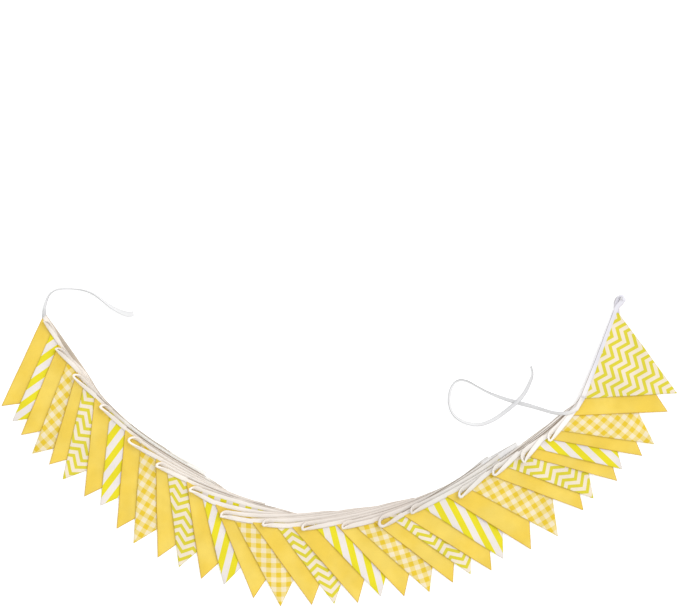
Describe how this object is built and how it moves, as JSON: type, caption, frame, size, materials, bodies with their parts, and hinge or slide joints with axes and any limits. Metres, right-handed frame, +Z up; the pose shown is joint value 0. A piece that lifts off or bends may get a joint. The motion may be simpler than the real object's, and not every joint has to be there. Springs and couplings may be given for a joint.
{
  "type": "fabric bunting",
  "caption": "Double-sided triangular cotton pennants on one folded binding tape with free tie ends, laid flat in an open arc so that the pennants overlap.",
  "frame": {"origin": "middle of the footprint of the pennants and the header tape, on the surface that the bunting lies on", "axes": "+Z up from the surface, +X from the first pennant's end of the arc to the last one's, +Y into the open side of the arc"},
  "size_m": [1.284, 0.6071, 0.0261],
  "materials": {
    "plain_cotton": "matte plain weave, warm yellow",
    "stripe_cotton": "matte cotton with lemon and white stripes",
    "gingham_cotton": "matte woven yellow and white check",
    "chevron_cotton": "matte cotton with yellow zigzag lines on white",
    "tape_cotton": "folded off-white binding tape"
  },
  "bodies": {
    "root": {"binding_tape": "tape_cotton", "tie_left": "tape_cotton", "tie_right": "tape_cotton", "pennant_01_plain": "plain_cotton", "pennant_02_stripe": "stripe_cotton", "pennant_03_plain": "plain_cotton", "pennant_04_gingham": "gingham_cotton", "pennant_05_plain": "plain_cotton", "pennant_06_chevron": "chevron_cotton", "pennant_07_plain": "plain_cotton", "pennant_08_stripe": "stripe_cotton", "pennant_09_plain": "plain_cotton", "pennant_10_gingham": "gingham_cotton", "pennant_11_plain": "plain_cotton", "pennant_12_chevron": "chevron_cotton", "pennant_13_plain": "plain_cotton", "pennant_14_stripe": "stripe_cotton", "pennant_15_plain": "plain_cotton", "pennant_16_gingham": "gingham_cotton", "pennant_17_plain": "plain_cotton", "pennant_18_chevron": "chevron_cotton", "pennant_19_plain": "plain_cotton", "pennant_20_stripe": "stripe_cotton", "pennant_21_plain": "plain_cotton", "pennant_22_gingham": "gingham_cotton", "pennant_23_plain": "plain_cotton", "pennant_24_chevron": "chevron_cotton", "pennant_25_plain": "plain_cotton", "pennant_26_stripe": "stripe_cotton", "pennant_27_plain": "plain_cotton", "pennant_28_gingham": "gingham_cotton", "pennant_29_plain": "plain_cotton", "pennant_30_chevron": "chevron_cotton", "pennant_31_plain": "plain_cotton", "pennant_32_stripe": "stripe_cotton", "pennant_33_plain": "plain_cotton", "pennant_34_gingham": "gingham_cotton", "pennant_35_plain": "plain_cotton", "pennant_36_chevron": "chevron_cotton"}
  },
  "joints": []
}
